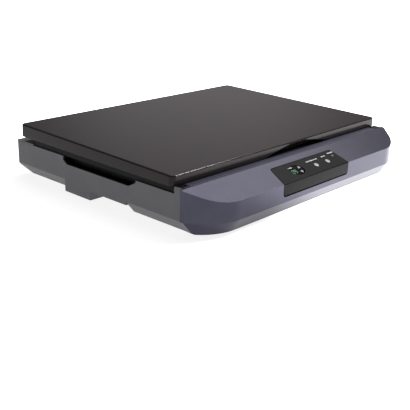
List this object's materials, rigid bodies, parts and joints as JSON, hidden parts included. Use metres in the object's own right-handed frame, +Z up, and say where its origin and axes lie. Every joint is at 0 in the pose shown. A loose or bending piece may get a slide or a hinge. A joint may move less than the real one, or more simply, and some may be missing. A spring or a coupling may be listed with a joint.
{
  "type": "flatbed scanner",
  "caption": "A3 flatbed scanner: wedge-shaped lid on lifting hinges, glass platen, moving sensor carriage, rounded front bezel with a black control panel and buttons.",
  "frame": {"origin": "on the supporting surface, under the middle of the bounding box", "axes": "+X along the long front edge to the right seen from the front, +Y from the control panel to the hinges, +Z up"},
  "size_m": [0.535, 0.4571, 0.0939],
  "materials": {
    "lid_black": "satin black moulding",
    "case_grey": "fine grained grey moulding",
    "frame_black": "fine textured black",
    "bezel_grey": "metallic lavender grey paint",
    "panel_black": "satin black",
    "window_black": "polished smoke black",
    "button_grey": "satin silver grey",
    "lamp_green": "translucent green",
    "clear_glass": "polished clear glass",
    "white_plastic": "matt white",
    "foam": "fine celled foam",
    "steel": "bright steel",
    "brass": "turned brass",
    "rubber": "matt black rubber",
    "board_green": "green circuit board",
    "black_plastic": "black moulding",
    "ivory_plastic": "natural acetal"
  },
  "bodies": {
    "base": {"lower_case": "case_grey", "rear_deck": "case_grey", "top_frame": "frame_black", "front_bezel": "bezel_grey", "control_panel": "panel_black", "display_window": "window_black", "display_module": "lamp_green", "status_light": "lamp_green", "platen_glass": "clear_glass", "calibration_strip": "white_plastic", "flex_cable": "white_plastic", "case_screw_front_left": "steel", "case_screw_front_right": "steel", "case_screw_rear_left": "steel", "case_screw_rear_right": "steel", "drive_motor": "steel", "motor_bracket": "steel", "idler_bracket": "steel", "belt_tension_spring": "steel", "guide_rod": "steel", "rod_clamp_left": "steel", "rod_clamp_right": "steel", "usb_socket": "steel", "foot_front_left": "rubber", "foot_front_right": "rubber", "foot_middle_left": "rubber", "foot_middle_right": "rubber", "foot_rear_left": "rubber", "foot_rear_right": "rubber", "drive_belt": "rubber", "main_board": "board_green", "panel_board": "board_green", "power_socket": "black_plastic", "home_sensor": "black_plastic"},
    "carriage": {"carriage_frame": "black_plastic", "sensor_bar": "black_plastic", "sensor_window": "clear_glass", "light_guide": "white_plastic", "sensor_board": "board_green", "glide_front": "ivory_plastic", "glide_rear": "ivory_plastic", "rod_bushing": "brass", "belt_clamp": "black_plastic", "lift_spring_front": "steel", "lift_spring_rear": "steel"},
    "drive_gear": {"drive_gear": "ivory_plastic"},
    "motor_pinion": {"motor_pinion": "brass"},
    "idler_pulley": {"idler_pulley": "ivory_plastic"},
    "round_button_left": {"round_button_left": "button_grey"},
    "round_button_right": {"round_button_right": "button_grey"},
    "arrow_button_up": {"arrow_button_up": "button_grey"},
    "arrow_button_down": {"arrow_button_down": "button_grey"},
    "hinge_posts": {"hinge_post_left": "black_plastic", "hinge_post_right": "black_plastic"},
    "lid": {"lid_shell": "lid_black", "lid_inner_panel": "frame_black", "foam_pad": "foam", "backing_sheet": "white_plastic", "hinge_pin_left": "steel", "hinge_pin_right": "steel"}
  },
  "joints": [
    {"name": "carriage_slide", "type": "slide", "parent": "base", "child": "carriage", "axis": [1, 0, 0], "range_m": [0, 0.44]},
    {"name": "drive_gear_spin", "type": "hinge", "parent": "base", "child": "drive_gear", "pos_m": [-0.24, 0.19, 0.0345], "axis": [0, 0, 1], "continuous": true},
    {"name": "motor_pinion_spin", "type": "hinge", "parent": "base", "child": "motor_pinion", "pos_m": [-0.2231, 0.19, 0.0345], "axis": [0, 0, 1], "continuous": true},
    {"name": "idler_pulley_spin", "type": "hinge", "parent": "base", "child": "idler_pulley", "pos_m": [0.24, 0.19, 0.042], "axis": [0, 0, 1], "continuous": true},
    {"name": "round_button_left_press", "type": "slide", "parent": "base", "child": "round_button_left", "axis": [0, 0.361, -0.9326], "range_m": [0, 0.001], "stiffness_N_per_m": 300, "springref_m": -0.0005},
    {"name": "round_button_right_press", "type": "slide", "parent": "base", "child": "round_button_right", "axis": [0, 0.361, -0.9326], "range_m": [0, 0.001], "stiffness_N_per_m": 300, "springref_m": -0.0005},
    {"name": "arrow_button_up_press", "type": "slide", "parent": "base", "child": "arrow_button_up", "axis": [0, 0.361, -0.9326], "range_m": [0, 0.001], "stiffness_N_per_m": 300, "springref_m": -0.0005},
    {"name": "arrow_button_down_press", "type": "slide", "parent": "base", "child": "arrow_button_down", "axis": [0, 0.361, -0.9326], "range_m": [0, 0.001], "stiffness_N_per_m": 300, "springref_m": -0.0005},
    {"name": "hinge_lift", "type": "slide", "parent": "base", "child": "hinge_posts", "axis": [0, 0, 1], "range_m": [0, 0.02]},
    {"name": "lid_hinge", "type": "hinge", "parent": "hinge_posts", "child": "lid", "pos_m": [0, 0.219, 0.078], "axis": [-1, 0, 0], "range_deg": [0, 80]}
  ],
  "couplings": [
    {"joint": "drive_gear_spin", "follows": "carriage_slide", "rad_per_m": 148.15},
    {"joint": "motor_pinion_spin", "follows": "carriage_slide", "rad_per_m": -493.83},
    {"joint": "idler_pulley_spin", "follows": "carriage_slide", "rad_per_m": 148.15}
  ]
}
